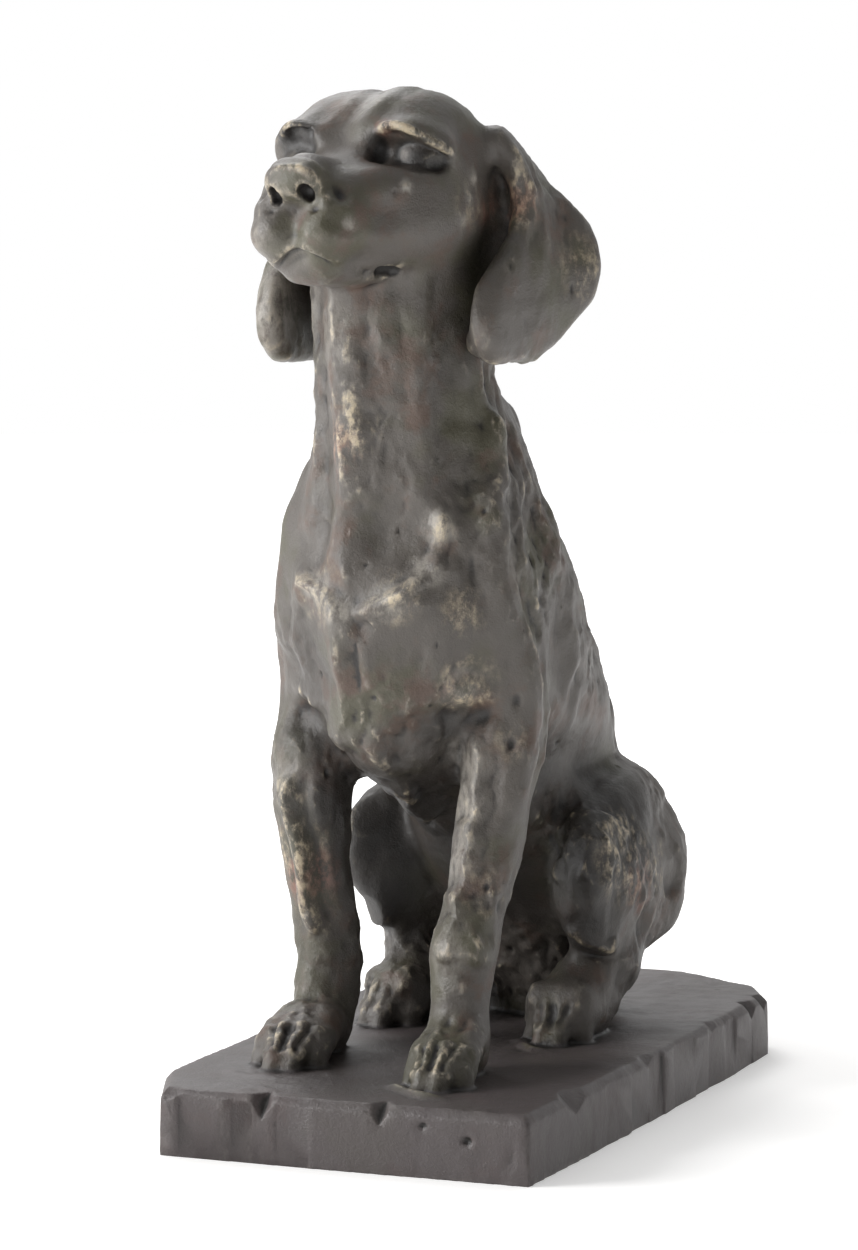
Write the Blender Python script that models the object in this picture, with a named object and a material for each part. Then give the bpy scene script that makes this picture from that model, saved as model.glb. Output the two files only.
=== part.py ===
"""Seated hound on a slab: one solid resin casting, from a clay model.

Metres, +Z up. The origin is the centre of the slab's underside, and the dog looks along -Y.
The figure is laid out in its own frame: x to the dog's left, y to its back, z up from the
slab's top, in units of 1/348 of the dog's height.
"""

from math import cos, pi, radians, sin

import bmesh
import bpy
import numpy as np
from mathutils import Matrix, Vector

# Driving sizes of the casting, in metres
SLAB_WIDTH = 0.156
SLAB_LENGTH = 0.300
SLAB_HEIGHT = 0.024
SLAB_SOFT_EDGE = 0.003
DOG_HEIGHT = 0.348

# Where the dog sits on the slab, as the place of its frame's origin, and how far it is turned
DOG_LEFT = -0.004
DOG_BACK = -0.030
DOG_TURN = radians(-7)

UNIT = DOG_HEIGHT / 348

# The slab's uneven outline, as shares of its half width and half length
SLAB_OUTLINE = [
    (-0.80, -1.00), (0.96, -0.98), (0.98, -0.62), (1.0, -0.15), (1.0, 0.72), (0.86, 0.85), (0.62, 0.92),
    (0.38, 1.0), (-0.96, 0.985), (-1.0, 0.28), (-0.985, -0.30), (-0.965, -0.80),
]

# The ears, in units: thickness of the flaps, and how far the right one hangs ahead of the left
EAR_THICKNESS = 10.4
RIGHT_EAR_AHEAD = 3

# Grain of the modelling, in units: cells of the two fusings and the smoothing after each
MASS_CELL = 2.6
MASS_SMOOTHING = 8
FEATURE_CELL = 1.7
FEATURE_SMOOTHING = 3
TRIANGLES = 8800
BALL_ROUNDS = 3


def clear_scene():
    for obj in list(bpy.data.objects):
        bpy.data.objects.remove(obj)


def unit_ball():
    """Corners of a ball of radius 1."""
    ball = bmesh.new()
    bmesh.ops.create_icosphere(ball, subdivisions=BALL_ROUNDS, radius=1)
    corners = [v.co.copy() for v in ball.verts]
    ball.free()
    return corners


BALL = unit_ball()


def ellipsoid(centre, radii):
    return [Vector([c + r * p for c, r, p in zip(centre, radii, corner)]) for corner in BALL]


def skin(clay, balls, side=1):
    """The tight skin over a group of ellipsoids, given as (centre, radii)."""
    points = [p for centre, radii in balls for p in ellipsoid(centre, radii)]
    corners = [clay.verts.new((side * p.x, p.y, p.z)) for p in points]
    hull = bmesh.ops.convex_hull(clay, input=corners, use_existing_faces=False)
    spare = [v for v in hull["geom_interior"] + hull["geom_unused"] if v.is_valid]
    bmesh.ops.delete(clay, geom=list(set(spare)), context="VERTS")


def lump(clay, *balls, mirror=True):
    """Clay stretched over each neighbouring pair of ellipsoids, on both sides of the dog."""
    for side in ((1, -1) if mirror else (1,)):
        for pair in list(zip(balls, balls[1:])) or [balls]:
            skin(clay, pair, side)


def loft(clay, sections, corners=36):
    """Rounded rings, one per (height, half width, front, widest, back), closed top and bottom."""
    rings = []
    for z, half_width, front, widest, back in sections:
        ring = []
        for i in range(corners):
            a = 2 * pi * i / corners
            reach = back - widest if sin(a) > 0 else widest - front
            ring.append(clay.verts.new((half_width * cos(a), widest + reach * sin(a), z)))
        rings.append(ring)
    for low, high in zip(rings, rings[1:]):
        for i in range(corners):
            j = (i + 1) % corners
            clay.faces.new((low[i], low[j], high[j], high[i]))
    clay.faces.new(rings[0][::-1])
    clay.faces.new(rings[-1])


def add_trunk(clay):
    """Rump, ribcage, chest and neck, as level sections from the rump up to the skull."""
    loft(
        clay,
        [
            (-3, 24, 62, 84, 98),
            (12, 32, 58, 86, 106),
            (30, 38, 50, 86, 114),
            (58, 43, 24, 72, 121),
            (76, 38, 8, 60, 117),
            (90, 35, -14, 54, 114),
            (106, 34, -51, 50, 106),
            (125, 44, -60, 10, 96),
            (150, 49, -66, -8, 76),
            (172, 49, -68, -12, 56),
            (190, 46, -66, -14, 42),
            (208, 40, -63, -15, 29),
            (227, 34, -65, -20, 24),
            (245, 31, -66, -29, 6),
            (265, 31, -66, -33, 3),
            (290, 32, -64, -34, 0),
            (314, 31, -55, -34, 0),
        ],
    )


def add_shoulders(clay):
    """Blades, shoulder points, upper arms down to the elbows, and the keel of the breastbone."""
    lump(clay, ((15, 8, 229), (9, 11, 9)), ((20, 8, 208), (12, 14, 14)), ((30, -4, 184), (14, 20, 18)))
    lump(clay, ((29, -20, 224), (8, 11, 14)), ((37, -33, 190), (11, 12, 16)), ((38.5, -31, 158), (13, 15, 16)))
    lump(clay, ((39, -25, 154), (13, 16, 18)), ((40.5, -21, 128), (13, 16, 16)), ((38, -22, 112), (14, 18, 12)))
    lump(clay, ((15, -53, 166), (15, 12, 13)), ((13, -50, 142), (13, 12, 14)), ((8, -46, 122), (9, 12, 12)))
    lump(clay, ((0, -55, 158), (6, 12, 14)), ((0, -51, 116), (4.5, 9, 7)), ((0, -12, 90), (5, 13, 7)), mirror=False)


def limb(clay, *stations):
    """One leg through its stations, each (x, y, z, half width, half depth), from the top down."""
    balls = [((x, y, z), (wide, deep, max(wide, deep) * 0.7)) for x, y, z, wide, deep in stations]
    lump(clay, *balls, mirror=False)


def add_forelegs(clay):
    limb(
        clay,
        (38, -22, 112, 14.5, 19),
        (36, -27, 92, 13.8, 15.5),
        (35, -38, 61, 11, 12.5),
        (34, -46, 43, 12.6, 13.5),
        (34, -49, 24, 10.8, 11.5),
        (35, -52, 7, 11.5, 14),
    )
    limb(
        clay,
        (-40, -25, 112, 15, 19),
        (-38, -30, 92, 14.8, 16),
        (-37, -30, 72, 13, 13.5),
        (-36, -27, 52, 11.8, 12.5),
        (-35, -25, 34, 12, 12.5),
        (-34, -28, 16, 11.5, 13),
        (-32, -38, 6, 12, 15),
    )


def add_haunches(clay):
    """Thigh, knee and shank of each folded hind leg, and the short thick foot as a mass."""
    lump(clay, ((32, 72, 77), (18, 36, 22)), ((38, 56, 68), (16, 30, 26)))
    lump(clay, ((38, 70, 56), (17, 44, 33)), ((42, 40, 58), (13, 22, 29)))
    lump(clay, ((46.5, 31, 66), (10, 14, 20)), ((42, 43, 40), (9, 13, 13)), ((41, 56, 26), (11, 20, 14)))
    lump(clay, ((36, 42, 14), (14, 18, 17)), ((36, 26, 9), (14, 12, 12)))


def add_tail(clay):
    """A short tail round the right side of the rump, where the photograph can't see it."""
    lump(
        clay,
        ((-2, 104, 18), (11, 11, 11)),
        ((-16, 118, 9), (8, 8, 9)),
        ((-36, 120, 6), (6.5, 6.5, 8)),
        ((-54, 106, 5), (5.5, 6, 7)),
        ((-60, 92, 4), (4.5, 5, 6)),
        mirror=False,
    )


def add_head(clay):
    """Skull, brows, cheeks, muzzle, flews and jaw, and the padding behind the ears."""
    lump(clay, ((-14, -41, 322), (22.5, 31, 26)), ((14, -41, 322), (22.5, 31, 26)), mirror=False)
    lump(clay, ((0, -36, 320), (34, 30, 26)), ((0, -18, 311), (31, 24, 26)), mirror=False)
    lump(clay, ((0, -48, 338), (7, 16, 11)), ((0, -64, 324), (9, 10, 9)), mirror=False)
    lump(clay, ((12, -65, 331), (8, 7.5, 7)), ((23, -64, 331.5), (8, 7.5, 6)), ((31, -56, 326), (7, 9, 7)))
    lump(clay, ((25, -46, 305), (13, 24, 21)), ((20, -66, 302), (14, 16, 16)))
    lump(clay, ((27, -62, 314), (9, 12, 8)), ((15, -86, 310), (8, 10, 10)))
    lump(clay, ((0, -66, 317), (21, 13, 9.5)), ((0, -92, 312), (15, 10, 8)), mirror=False)
    lump(clay, ((16, -74, 300), (12, 14, 14)), ((11, -96, 300), (11, 12, 12)))
    lump(clay, ((8, -86, 297), (12, 18, 11)), ((9, -100, 296), (10, 10, 9)))
    lump(clay, ((7, -60, 287), (14, 14, 9)), ((4.5, -92, 284), (9, 9, 6)))
    lump(clay, ((0, -52, 287), (27, 20, 15)), mirror=False)
    lump(clay, ((29, -8, 306), (12, 15, 18)), ((34, -12, 274), (11, 16, 11)))


def add_features(clay):
    """Eyeballs and the pad of the nose."""
    lump(clay, ((21.5, -62, 324), (7, 6.5, 5.5)), ((24, -61, 323), (7, 6.5, 5.5)))
    lump(clay, ((4.5, -103, 315), (7, 7.5, 8)), ((-4.5, -103, 315), (7, 7.5, 8)), mirror=False)
    lump(clay, ((0, -98, 320), (8, 8, 4.5)), ((0, -84, 320), (7, 8, 3)), mirror=False)
    lump(clay, ((13, -67.5, 332.5), (5, 4.5, 3.5)), ((22, -67, 333.5), (5, 5, 3.5)), ((31, -60, 328.5), (4.5, 5, 4)))


def add_ears(clay):
    """Thick hanging flaps, as levels from the root down; each is (z, front edge, rear edge)."""
    levels = [
        (330, (36, -27), (30, -15)),
        (320, (42, -23), (36, -6)),
        (312, (45, -22), (39, -1)),
        (303, (45.5, -23), (47, 4)),
        (294, (46, -29), (53, 6.5)),
        (285, (45, -39), (54.5, 5.5)),
        (276, (43.5, -47.5), (53, 3.5)),
        (267, (43, -49.5), (49.5, -3)),
        (260, (43, -47), (46.5, -9)),
        (255.5, (43, -42), (44, -18)),
    ]
    for high, low in zip(levels, levels[1:]):
        for side, ahead in ((1, 0), (-1, RIGHT_EAR_AHEAD)):
            ends = [(x, y - ahead, z) for z, *edges in (high, low) for x, y in edges]
            skin(clay, [(end, (EAR_THICKNESS / 2,) * 3) for end in ends], side)


def toes(clay, heel, tip, spread, height):
    """Four toes fanned about the line from heel to tip: the middle pair reaches furthest."""
    heel, tip = Vector((*heel, 0)), Vector((*tip, 0))
    ahead = (tip - heel).normalized()
    aside = Vector((ahead.y, -ahead.x, 0))
    for across, short in ((-1.5, 9), (-0.5, 0), (0.5, 0), (1.5, 9)):
        end = tip - ahead * (short + 4.5) + aside * across * spread
        root = heel + ahead * 6 + aside * across * spread * 0.7
        lump(
            clay,
            (root + Vector((0, 0, height)), (5.6, 7, 7)),
            (end - ahead * 8 + Vector((0, 0, height * 0.72)), (4.2, 5, 5.5)),
            (end + Vector((0, 0, 2.5)), (3.9, 4.5, 5)),
            mirror=False,
        )


def add_feet(clay):
    toes(clay, (35, -50), (43, -90), 6.2, 13)
    toes(clay, (-32, -38), (-22, -82), 7.2, 12)
    toes(clay, (35, 30), (38, 8), 6.6, 15)
    toes(clay, (-35, 30), (-38, 8), 6.6, 15)


def object_from(clay, name):
    mesh = bpy.data.meshes.new(name)
    clay.to_mesh(mesh)
    clay.free()
    obj = bpy.data.objects.new(name, mesh)
    bpy.context.scene.collection.objects.link(obj)
    return obj


def fused(obj, cell, smoothing):
    """One skin over all the lumps of obj, its creases softened."""
    remesh = obj.modifiers.new("one skin", "REMESH")
    remesh.mode = "VOXEL"
    remesh.voxel_size = cell
    smooth = obj.modifiers.new("soft creases", "SMOOTH")
    smooth.factor = 0.5
    smooth.iterations = smoothing
    graph = bpy.context.evaluated_depsgraph_get()
    skin = bpy.data.meshes.new_from_object(obj.evaluated_get(graph))
    obj.modifiers.clear()
    obj.data = skin
    return obj


def press(mesh, centre, radii, push, mirror=True):
    """Move the clay by push at the centre of an ellipsoid, fading to nothing at its surface."""
    points = np.empty(len(mesh.vertices) * 3)
    mesh.vertices.foreach_get("co", points)
    points = points.reshape(-1, 3)
    for side in ((1, -1) if mirror else (1,)):
        flip = np.array((side, 1, 1))
        away = (((points - np.array(centre) * flip) / np.array(radii)) ** 2).sum(axis=1)
        points += np.clip(1 - away, 0, None)[:, None] ** 2 * (np.array(push) * flip)
    mesh.vertices.foreach_set("co", points.ravel())


def press_masses(mesh):
    """Hollows of the eyes, temples, throat and chest, and the grooves between the muscles."""
    press(mesh, (21, -71, 324), (12, 12, 8), (-1, 5.5, -1))
    press(mesh, (30, -64, 320), (10, 12, 7), (-2, 4, -0.5))
    press(mesh, (12, -73, 323), (7, 10, 7), (2, 4, 0))
    press(mesh, (39, -46, 331), (12, 14, 12), (-4, 0, 0))
    press(mesh, (0, -70, 327), (8, 10, 8), (0, 3, -1), mirror=False)
    press(mesh, (22, -92, 287), (14, 12, 6), (-3, 4, 0))
    press(mesh, (0, -110, 297), (4, 8, 11), (0, 3.5, 0), mirror=False)
    press(mesh, (5, -66, 190), (12, 14, 22), (0, 5, 0), mirror=False)
    press(mesh, (20, -66, 215), (9, 12, 50), (0, 3.5, 0))
    press(mesh, (30, -58, 186), (10, 14, 10), (-2, 4, 0))
    press(mesh, (48, -10, 196), (13, 13, 34), (-6, 0, 0))
    press(mesh, (55, 4, 148), (14, 15, 46), (-7, 0, 0))
    press(mesh, (26, -4, 246), (12, 10, 22), (-4, 0, 0))
    press(mesh, (28, -52, 122), (12, 14, 16), (0, 5, 0))
    press(mesh, (0, 90, 160), (9, 60, 90), (0, -3, -1), mirror=False)
    press(mesh, (44, 24, 86), (16, 18, 14), (-6, 0, 0))
    press(mesh, (0, 118, 50), (8, 20, 50), (0, -5, 0), mirror=False)


def place_dog(mesh):
    spot = Matrix.Translation((DOG_LEFT, DOG_BACK, SLAB_HEIGHT))
    mesh.transform(spot @ Matrix.Rotation(DOG_TURN, 4, "Z") @ Matrix.Scale(UNIT, 4))


def make_dog():
    masses = bmesh.new()
    for add in (add_trunk, add_shoulders, add_forelegs, add_haunches, add_tail, add_head):
        add(masses)
    dog = object_from(masses, "dog")
    fused(dog, MASS_CELL, MASS_SMOOTHING)
    press_masses(dog.data)
    features = bmesh.new()
    features.from_mesh(dog.data)
    for add in (add_features, add_ears, add_feet):
        add(features)
    features.to_mesh(dog.data)
    features.free()
    fused(dog, FEATURE_CELL, FEATURE_SMOOTHING)
    place_dog(dog.data)
    return dog


def make_slab():
    """The slab's outline carried up to softened top edges."""
    slab = bmesh.new()
    rings = []
    for z, inset in ((0, 0), (SLAB_HEIGHT - SLAB_SOFT_EDGE, SLAB_SOFT_EDGE * 0.2), (SLAB_HEIGHT, SLAB_SOFT_EDGE)):
        half_width, half_length = SLAB_WIDTH / 2 - inset, SLAB_LENGTH / 2 - inset
        rings.append([slab.verts.new((x * half_width, y * half_length, z)) for x, y in SLAB_OUTLINE])
    for low, high in zip(rings, rings[1:]):
        for i in range(len(low)):
            j = (i + 1) % len(low)
            slab.faces.new((low[i], low[j], high[j], high[i]))
    slab.faces.new(rings[0][::-1])
    slab.faces.new(rings[-1])
    return object_from(slab, "slab")


def lighten(obj, triangles):
    """Fewest triangles that keep the form."""
    obj.data.calc_loop_triangles()
    fewer = obj.modifiers.new("fewer triangles", "DECIMATE")
    fewer.ratio = triangles / len(obj.data.loop_triangles)
    graph = bpy.context.evaluated_depsgraph_get()
    mesh = bpy.data.meshes.new_from_object(obj.evaluated_get(graph))
    obj.modifiers.clear()
    obj.data = mesh


def make_casting(name):
    """Dog and slab as the one body they were poured as."""
    dog, slab = make_dog(), make_slab()
    lighten(dog, TRIANGLES)
    join = slab.modifiers.new("one casting", "BOOLEAN")
    join.operation = "UNION"
    join.solver = "EXACT"
    join.object = dog
    graph = bpy.context.evaluated_depsgraph_get()
    mesh = bpy.data.meshes.new_from_object(slab.evaluated_get(graph))
    for obj in (dog, slab):
        bpy.data.objects.remove(obj)
    casting = bpy.data.objects.new(name, mesh)
    bpy.context.scene.collection.objects.link(casting)
    return casting


def resin():
    """Cold-cast resin under a dark bronze patina."""
    material = bpy.data.materials.new("patinated resin")
    material.use_nodes = True
    shader = material.node_tree.nodes["Principled BSDF"]
    shader.inputs["Base Color"].default_value = (0.095, 0.086, 0.074, 1)
    shader.inputs["Roughness"].default_value = 0.5
    shader.inputs["Metallic"].default_value = 0
    return material


clear_scene()
hound = make_casting("hound_on_slab")
hound.data.materials.clear()
hound.data.materials.append(resin())
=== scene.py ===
# %% [markdown]
# # A seated hound in patinated resin
#
# The real object is a shelf statue, 372 mm tall: a hound that sits on an uneven slab, modelled by
# hand in clay and then cast as one piece in filled resin. A dark bronze patina was brushed over it
# and rubbed back to ochre on the high places.
#
# We follow the same road. The imported solid is the armature: it has the pose and the masses. Here it
# is turned into fine clay, sculpted with a few numeric brushes, and then given its patina, with
# painted shade and painted highlights in its colour.

from math import cos, pi, radians, sin

import bpy
import numpy as np
from mathutils import Matrix, Vector, noise


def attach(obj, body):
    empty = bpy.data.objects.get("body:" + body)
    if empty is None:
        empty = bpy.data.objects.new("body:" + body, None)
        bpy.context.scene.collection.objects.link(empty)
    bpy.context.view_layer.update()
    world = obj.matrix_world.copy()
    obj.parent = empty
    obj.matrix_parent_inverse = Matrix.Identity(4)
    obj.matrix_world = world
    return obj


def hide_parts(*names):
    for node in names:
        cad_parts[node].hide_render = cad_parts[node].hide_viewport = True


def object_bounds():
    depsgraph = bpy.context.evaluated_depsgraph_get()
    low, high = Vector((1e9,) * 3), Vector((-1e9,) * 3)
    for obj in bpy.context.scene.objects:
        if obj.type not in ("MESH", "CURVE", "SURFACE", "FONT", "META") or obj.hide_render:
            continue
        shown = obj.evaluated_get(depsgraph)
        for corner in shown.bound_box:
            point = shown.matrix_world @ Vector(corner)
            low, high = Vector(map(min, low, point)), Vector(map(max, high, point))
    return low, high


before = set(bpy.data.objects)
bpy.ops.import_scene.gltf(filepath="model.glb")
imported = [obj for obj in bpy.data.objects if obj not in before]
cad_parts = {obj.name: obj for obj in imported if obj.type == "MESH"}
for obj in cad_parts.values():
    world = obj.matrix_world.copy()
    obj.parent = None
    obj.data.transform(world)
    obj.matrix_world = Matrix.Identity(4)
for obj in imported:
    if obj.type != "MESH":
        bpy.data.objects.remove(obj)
cad_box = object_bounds()
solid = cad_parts["hound_on_slab"]
print("the solid:", len(solid.data.polygons), "triangles")

# %% [markdown]
# ## One set of millimetres for the sculptor
#
# A sculptor thinks from the animal: left, back, up. So the clay is worked in the dog's own frame:
# x to its left, y to its back and z up from the slab's top, all in millimetres. One matrix takes
# that frame to the world, and its inverse takes the solid into it.

# %% The dog's frame
MM = 0.001
SLAB_HEIGHT = 24
DOG_PLACE = (-4, -30, SLAB_HEIGHT)
DOG_TURN = radians(-7)

to_world = Matrix.Scale(MM, 4) @ Matrix.Translation(DOG_PLACE) @ Matrix.Rotation(DOG_TURN, 4, "Z")
from_world = to_world.inverted()


def on_slab(x, y, z):
    """A place in the slab's own millimetres, told in the dog's frame."""
    return tuple(from_world @ (Vector((x, y, z)) * MM))


print("the slab's middle in the dog's frame:", [round(c, 1) for c in on_slab(0, 0, SLAB_HEIGHT)])

# %% [markdown]
# ## From facets to clay
#
# The solid has large flat triangles. Subdividing would keep their layout and its pinches. A voxel
# remesh instead lays an even skin of small squares, so a brush works the same everywhere. A smooth
# pass then melts the facets of the dog, and spares the slab, whose edges are meant to stay crisp.

# %% Clay from the solid
CLAY_GRAIN = 0.95
FACET_MELT = 34
SLAB_MELT = 3


def evaluated(obj):
    """The mesh of obj with its modifiers applied."""
    graph = bpy.context.evaluated_depsgraph_get()
    return bpy.data.meshes.new_from_object(obj.evaluated_get(graph))


def worked(obj, kind, **settings):
    """Apply one modifier of that kind to obj."""
    modifier = obj.modifiers.new(kind.lower(), kind)
    for name, value in settings.items():
        setattr(modifier, name, value)
    mesh = evaluated(obj)
    obj.modifiers.clear()
    obj.data = mesh
    return obj


hound = bpy.data.objects.new("hound_casting", solid.data.copy())
bpy.context.scene.collection.objects.link(hound)
hound.data.materials.clear()
hound.data.transform(from_world)
worked(hound, "REMESH", mode="VOXEL", voxel_size=CLAY_GRAIN)
print("clay:", len(hound.data.vertices), "points")

# %% Melt the facets of the dog only


def read(collection, name, width=3):
    """A numpy table of one property of a Blender collection."""
    table = np.empty(len(collection) * width)
    collection.foreach_get(name, table)
    return table.reshape(-1, width) if width > 1 else table


points = read(hound.data.vertices, "co")
dog = hound.vertex_groups.new(name="dog")
above = np.clip((points[:, 2] - 0.5) / 4, 0, 1)
STEPS = 5
for step in range(1, STEPS + 1):
    picked = np.nonzero(np.ceil(above * STEPS) == step)[0]
    dog.add(picked.tolist(), step / STEPS, "REPLACE")
worked(hound, "SMOOTH", factor=0.5, iterations=SLAB_MELT)
worked(hound, "SMOOTH", factor=0.5, iterations=FACET_MELT, vertex_group="dog")
points = read(hound.data.vertices, "co")
print("melted:", points.min(axis=0).round(1), points.max(axis=0).round(1))

# %% [markdown]
# ## Four brushes
#
# Real sculpting comes down to few moves. A *dab* swells or hollows an oval place. A *ball* sets a
# round eye into its socket. A *stroke* draws a ridge or a groove along a path, and an *edge* makes
# one mass stand over its neighbour, as a muscle does. Each one finds the points near it, and moves
# them along the skin's normal. A path is a few places on the surface, rounded by a Catmull-Rom
# curve, as the hand would round it.

# %% Feel the skin
normals = None


def feel():
    """Read the skin's normals again, after the clay has moved."""
    global normals
    hound.data.vertices.foreach_set("co", points.ravel())
    hound.data.update()
    normals = read(hound.data.vertex_normals, "vector")


def sides(mirror):
    """1 for the dog's left, then -1 for its right where the work is mirrored."""
    return (1, -1) if mirror else (1,)


feel()

# %% Dab, ball and flatten


def dab(centre, radii, height, push=None, mirror=False):
    """Swell (height above 0) or hollow an oval place, along the normal or a given push."""
    for side in sides(mirror):
        flip = np.array((side, 1, 1))
        away = (points - np.array(centre) * flip) / np.array(radii)
        reach = (away ** 2).sum(axis=1)
        near = reach < 1
        pressure = (1 - reach[near])[:, None] ** 2 * height
        points[near] += pressure * (normals[near] if push is None else np.array(push) * flip)


def ball(centre, radius):
    """Press a round ball out through the skin."""
    away = points - np.array(centre)
    reach = np.linalg.norm(away, axis=1)
    inside = reach < radius
    points[inside] = np.array(centre) + away[inside] / reach[inside, None] * radius


def flatten(centre, size, facing, amount):
    """Press a flat into the skin with a knife: points near centre move to the plane that looks along facing."""
    facing = np.array(facing) / np.linalg.norm(facing)
    away = points - np.array(centre)
    near = np.nonzero((np.abs(away) < size).all(axis=1))[0]
    away = away[near]
    weight = np.clip(1.6 * (1 - (away ** 2).sum(axis=1) / size ** 2), 0, 1) * amount
    points[near] -= ((away @ facing) * weight)[:, None] * facing


print("dab, ball and flatten ready")

# %% A drawn path


def rounded(path, steps=8):
    """A Catmull-Rom curve through the places of a path."""
    path = np.array(path, float)
    ends = np.vstack([2 * path[0] - path[1], path, 2 * path[-1] - path[-2]])
    curve = []
    for a, b, c, d in zip(ends, ends[1:], ends[2:], ends[3:]):
        for t in np.arange(steps) / steps:
            bend = t * (2 * a - 5 * b + 4 * c - d + t * (3 * (b - c) + d - a))
            curve.append(b + 0.5 * t * (c - a + bend))
    return np.array(curve + [path[-1]])


def snapped(path):
    """The same places, each moved to the nearest point of the skin."""
    return [points[((points - place) ** 2).sum(axis=1).argmin()].copy() for place in np.array(path, float)]


# %% An unsteady hand
WANDER_LENGTH, WANDER = 24, 2.2
PATCH_LENGTH, PATCHINESS = 17, 0.8

drift = np.array([noise.noise_vector(Vector(place) / WANDER_LENGTH) for place in points]) * WANDER
patchy = np.array([noise.noise(Vector(place) / PATCH_LENGTH) for place in points]) * PATCHINESS
print("the hand wanders", np.abs(drift).mean().round(2), "mm")

# %% What lies under the brush


def under_brush(curve, width, loose):
    """Points within width of a curve, how far away and along they are, and how hard the hand presses."""
    low, high = curve.min(axis=0) - width, curve.max(axis=0) + width
    near = np.nonzero(((points > low) & (points < high)).all(axis=1))[0]
    places = points[near] + drift[near] * loose
    away = np.full(len(near), np.inf)
    along, spot = np.zeros(len(near)), np.zeros((len(near), 3))
    for i, (a, b) in enumerate(zip(curve, curve[1:])):
        span = b - a
        t = np.clip(((places - a) @ span) / max(span @ span, 1e-9), 0, 1)
        foot = a + t[:, None] * span
        reach = np.linalg.norm(places - foot, axis=1)
        closer = reach < away
        away[closer], spot[closer] = reach[closer], foot[closer]
        along[closer] = (i + t[closer]) / (len(curve) - 1)
    inside = away < width
    press = np.clip(1 + patchy[near] * loose, 0.15, 1.7)
    return near[inside], away[inside] / width, along[inside], (places - spot)[inside] / width, press[inside]


def lifted(along, taper):
    """The hand comes down and lifts off gently over that share of the path."""
    t = np.clip(np.minimum(along, 1 - along) / taper, 0, 1)
    return t * t * (3 - 2 * t)


# %% Stroke and edge


def stroke(path, width, height, taper=0.3, mirror=False, loose=1.0):
    """A round ridge (height above 0) or groove along a path."""
    for side in sides(mirror):
        curve = rounded(np.array(path, float) * (side, 1, 1))
        near, away, along, _, press = under_brush(curve, width, loose)
        pressure = (1 - away ** 2) ** 2 * lifted(along, taper) * press * height
        points[near] += pressure[:, None] * normals[near]


EDGE_PEAK = 3.5


def edge(path, width, height, higher, taper=0.25, mirror=False, loose=1.0):
    """A soft step along a path: clay rises towards the direction higher, and drops on the other side."""
    for side in sides(mirror):
        curve = rounded(np.array(path, float) * (side, 1, 1))
        near, away, along, offset, press = under_brush(curve, width, loose)
        towards = np.array(higher, float) * (side, 1, 1)
        share = offset @ (towards / np.linalg.norm(towards))
        pressure = EDGE_PEAK * share * (1 - away ** 2) ** 2 * lifted(along, taper) * press * height
        points[near] += pressure[:, None] * normals[near]


print("stroke and edge ready")

# %% [markdown]
# ## The face
#
# The head is lifted and a little tired: deep sockets under heavy brows, a square nose with open
# nostrils, and long lips that end in a pit. The sockets are hollowed first, then the eyeballs are
# set, and last the lids are drawn over them, because each step hides the rough edge of the one
# before.

# %% Eyes and brows
UP, DOWN = (0, 0, 1), (0, 0, -1)
FACE = 0.25

dab((22, -71, 325), (11, 11, 7.6), -3.2)
dab((13.8, -72, 325.4), (4.6, 8, 7), -3.4)
dab((32, -63, 322), (7, 9, 5.6), -2.4)
dab((-22.5, -71, 328), (9, 11, 5.6), -4.0)
dab((-15.5, -72, 327), (5, 9, 5.4), -2.0)
dab((-30, -65, 326), (7, 9, 5.5), -2.4)
feel()
LEFT_BROW = [(13, -71, 331), (18, -72, 334), (25, -71, 332.4), (30, -68, 329.6), (35, -62, 325.4), (38, -57, 322)]
RIGHT_BROW = [(-12, -70, 335), (-16, -69, 336.6), (-22.7, -69.8, 335.6), (-28, -67.6, 332), (-33, -62, 328)]
LEFT_LOWER_LID = [(13, -73, 319.5), (20, -74, 317.6), (27, -71, 317), (34, -63, 318)]
RIGHT_LOWER_LID = [(-14, -72, 322), (-21, -73, 320), (-27, -70, 319.8), (-33, -64, 321.6)]
edge([(x, y, z - 1.6) for x, y, z in LEFT_BROW], 4.6, 1.9, UP, taper=0.2, loose=FACE)
edge([(x, y, z - 2.2) for x, y, z in RIGHT_BROW[1:]], 4.6, 0.8, UP, taper=0.4, loose=FACE)
for lid, height in ((LEFT_LOWER_LID, 0.8), (RIGHT_LOWER_LID, 0.35)):
    edge(lid, 3.6, height, DOWN, taper=0.3, loose=FACE)
    stroke([(x, y, z - 5.5) for x, y, z in lid], 4, -height, taper=0.4, loose=FACE)
feel()
for depth in (-2.2, -1.6):
    stroke([(-13, -71, 330.5), (-19, -71, 331.4), (-26, -68, 329.8)], 3.4, depth, taper=0.3, loose=0)
    feel()
ball((24, -58.8, 322.4), 8.8)
dab((32.6, -63, 320.6), (4.6, 7, 3.4), -1.6)
ball((-21.6, -58.6, 323.4), 8)
feel()
print("eyes set")

# %% Forehead
CREST = [(3, -30, 349), (5, -46, 348), (4.5, -60, 342), (1, -70, 333), (-2, -76, 326)]
edge(CREST, 11, 1.5, (1, 0, 0), taper=0.25, loose=0.6)
stroke([(-10, -58, 343), (-12, -68, 336), (-11, -74, 329)], 8, -1.3, taper=0.4, loose=FACE)
dab((14, -60, 341), (12, 12, 9), 0.9)
feel()

# %% Nose
NOSE_RIM = [(-10.4, -104, 308), (-9.6, -108, 314), (-5, -110, 318.6), (3, -110, 319), (9, -108.5, 316.4), (11.6, -105, 311), (11.4, -103, 304)]
dab((0.5, -112, 311), (14, 9, 12), 1.4)
feel()
stroke(NOSE_RIM, 3, 1.2, taper=0.1, loose=FACE)
stroke([(-12, -99, 318.5), (-6, -101, 323), (5, -101, 323), (12.5, -99, 318.5)], 4, -1.3, taper=0.2, loose=FACE)
stroke([(14, -101, 316), (15, -99, 309), (13.6, -101, 303)], 4, -2.2, taper=0.25, loose=FACE, mirror=True)
feel()

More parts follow.
